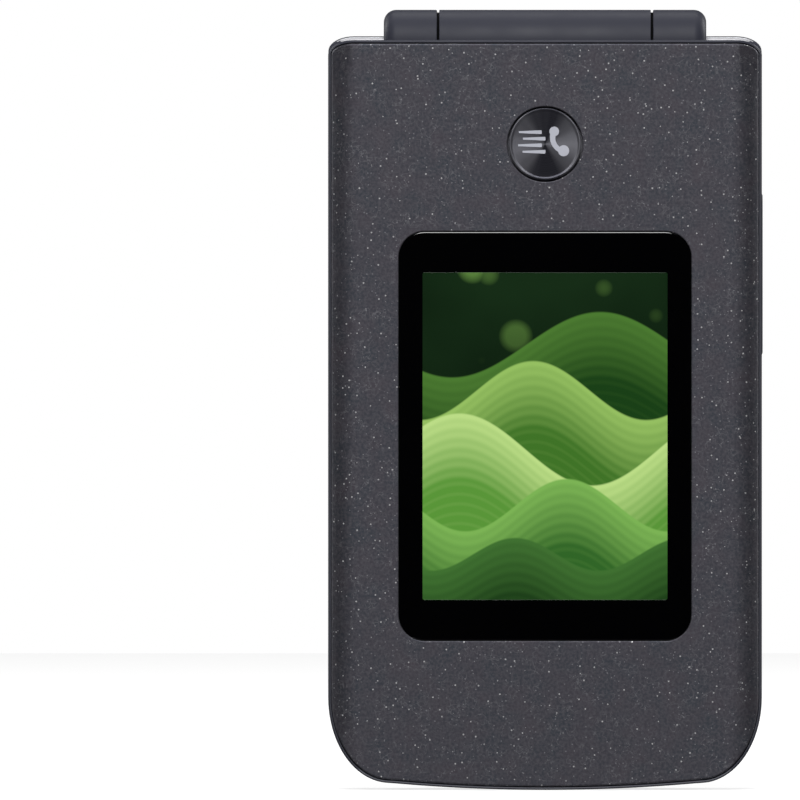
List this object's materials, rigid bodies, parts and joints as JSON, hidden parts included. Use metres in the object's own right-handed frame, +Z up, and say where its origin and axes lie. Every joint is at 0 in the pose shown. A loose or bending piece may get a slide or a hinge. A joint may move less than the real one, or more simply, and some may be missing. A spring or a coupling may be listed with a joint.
{
  "type": "flip phone",
  "caption": "Clamshell mobile phone with outer display and round call key on the lid, keypad and main display inside, rear camera with ring, removable rear cover.",
  "frame": {"origin": "middle of the closed phone's footprint, at the lowest point of its bottom edge, on which it stands", "axes": "+Z up the height towards the hinge, +X to the right seen from the outer display, +Y from the outer display towards the rear cover"},
  "size_m": [0.0592, 0.0193, 0.1061],
  "materials": {
    "cover": "satin speckled charcoal",
    "frame": "smooth satin dark grey",
    "window": "glossy black glazing",
    "display": "glass panel",
    "call_key": "spun metal, dark",
    "panel": "glossy black",
    "key": "satin, printed",
    "nav": "satin ring",
    "board": "solder-masked board",
    "steel": "plain",
    "black_part": "moulded",
    "copper": "plated flex and contacts",
    "battery": "plain wrapped cell",
    "bumper": "matt",
    "glass": "tinted, clear",
    "flash": "translucent white",
    "flash_led": "yellow phosphor",
    "lens": "coated lens"
  },
  "bodies": {
    "base": {"base_frame": "frame", "hinge_stub": "steel", "keypad_fascia": "panel", "dome_sheet": "steel", "main_board": "board", "shield_can": "steel", "microphone": "steel", "battery": "battery", "battery_contacts": "copper", "sim_holder": "steel", "antenna": "copper", "loudspeaker": "black_part", "camera_module": "black_part", "camera_lens": "lens", "flash_led": "flash_led", "usb_socket": "steel", "headphone_socket": "black_part", "volume_switches": "board", "base_screws": "steel"},
    "lid": {"lid_frame": "frame", "lid_cover": "cover", "outer_window": "window", "outer_display": "display", "call_key_switch": "steel", "lid_board": "board", "vibration_motor": "steel", "main_display": "display", "lid_inner_panel": "panel", "inner_window": "window", "earpiece_receiver": "black_part", "earpiece_grille": "black_part", "lid_magnet": "steel", "lid_screws": "steel", "lid_bumpers": "bumper", "hinge_cartridge": "steel", "hinge_flex": "copper"},
    "call_key": {"call_key": "call_key"},
    "rear_cover": {"rear_cover": "cover", "camera_ring": "black_part", "camera_window": "glass", "flash_window": "flash"},
    "volume_rocker": {"volume_rocker": "frame"},
    "nav_ring": {"nav_ring": "nav"},
    "ok_key": {"ok_key": "key"},
    "key_star": {"key_star": "key"},
    "key_0": {"key_0": "key"},
    "key_hash": {"key_hash": "key"},
    "key_7": {"key_7": "key"},
    "key_8": {"key_8": "key"},
    "key_9": {"key_9": "key"},
    "key_4": {"key_4": "key"},
    "key_5": {"key_5": "key"},
    "key_6": {"key_6": "key"},
    "key_1": {"key_1": "key"},
    "key_2": {"key_2": "key"},
    "key_3": {"key_3": "key"},
    "soft_key_left": {"soft_key_left": "key"},
    "soft_key_right": {"soft_key_right": "key"},
    "talk_key": {"talk_key": "key"},
    "end_key": {"end_key": "key"}
  },
  "joints": [
    {"name": "lid_hinge", "type": "hinge", "parent": "base", "child": "lid", "pos_m": [0, -0.0004, 0.1016], "axis": [-1, 0, 0], "range_deg": [0, 155]},
    {"name": "rear_cover_lift", "type": "slide", "parent": "base", "child": "rear_cover", "axis": [0, 1, 0], "range_m": [0, 0.015]},
    {"name": "volume_rocker_tilt", "type": "hinge", "parent": "base", "child": "volume_rocker", "pos_m": [0.0269, 0.0015, 0.0701], "axis": [0, 1, 0], "range_deg": [-1.2, 1.2], "stiffness_Nm_per_rad": 0.5},
    {"name": "nav_ring_tilt", "type": "hinge", "parent": "base", "child": "nav_ring", "pos_m": [0, -0.0008, 0.078], "axis": [1, 0, 0], "range_deg": [-1.2, 1.2], "stiffness_Nm_per_rad": 0.5},
    {"name": "call_key_press", "type": "slide", "parent": "lid", "child": "call_key", "axis": [0, 1, 0], "range_m": [0, 0.00035], "stiffness_N_per_m": 3000},
    {"name": "ok_key_press", "type": "slide", "parent": "base", "child": "ok_key", "axis": [0, 1, 0], "range_m": [0, 0.0003], "stiffness_N_per_m": 3000},
    {"name": "soft_key_left_press", "type": "slide", "parent": "base", "child": "soft_key_left", "axis": [0, 1, 0], "range_m": [0, 0.0003], "stiffness_N_per_m": 3000},
    {"name": "soft_key_right_press", "type": "slide", "parent": "base", "child": "soft_key_right", "axis": [0, 1, 0], "range_m": [0, 0.0003], "stiffness_N_per_m": 3000},
    {"name": "talk_key_press", "type": "slide", "parent": "base", "child": "talk_key", "axis": [0, 1, 0], "range_m": [0, 0.0003], "stiffness_N_per_m": 3000},
    {"name": "end_key_press", "type": "slide", "parent": "base", "child": "end_key", "axis": [0, 1, 0], "range_m": [0, 0.0003], "stiffness_N_per_m": 3000},
    {"name": "key_star_press", "type": "slide", "parent": "base", "child": "key_star", "axis": [0, 1, 0], "range_m": [0, 0.0003], "stiffness_N_per_m": 3000},
    {"name": "key_0_press", "type": "slide", "parent": "base", "child": "key_0", "axis": [0, 1, 0], "range_m": [0, 0.0003], "stiffness_N_per_m": 3000},
    {"name": "key_hash_press", "type": "slide", "parent": "base", "child": "key_hash", "axis": [0, 1, 0], "range_m": [0, 0.0003], "stiffness_N_per_m": 3000},
    {"name": "key_7_press", "type": "slide", "parent": "base", "child": "key_7", "axis": [0, 1, 0], "range_m": [0, 0.0003], "stiffness_N_per_m": 3000},
    {"name": "key_8_press", "type": "slide", "parent": "base", "child": "key_8", "axis": [0, 1, 0], "range_m": [0, 0.0003], "stiffness_N_per_m": 3000},
    {"name": "key_9_press", "type": "slide", "parent": "base", "child": "key_9", "axis": [0, 1, 0], "range_m": [0, 0.0003], "stiffness_N_per_m": 3000},
    {"name": "key_4_press", "type": "slide", "parent": "base", "child": "key_4", "axis": [0, 1, 0], "range_m": [0, 0.0003], "stiffness_N_per_m": 3000},
    {"name": "key_5_press", "type": "slide", "parent": "base", "child": "key_5", "axis": [0, 1, 0], "range_m": [0, 0.0003], "stiffness_N_per_m": 3000},
    {"name": "key_6_press", "type": "slide", "parent": "base", "child": "key_6", "axis": [0, 1, 0], "range_m": [0, 0.0003], "stiffness_N_per_m": 3000},
    {"name": "key_1_press", "type": "slide", "parent": "base", "child": "key_1", "axis": [0, 1, 0], "range_m": [0, 0.0003], "stiffness_N_per_m": 3000},
    {"name": "key_2_press", "type": "slide", "parent": "base", "child": "key_2", "axis": [0, 1, 0], "range_m": [0, 0.0003], "stiffness_N_per_m": 3000},
    {"name": "key_3_press", "type": "slide", "parent": "base", "child": "key_3", "axis": [0, 1, 0], "range_m": [0, 0.0003], "stiffness_N_per_m": 3000}
  ]
}
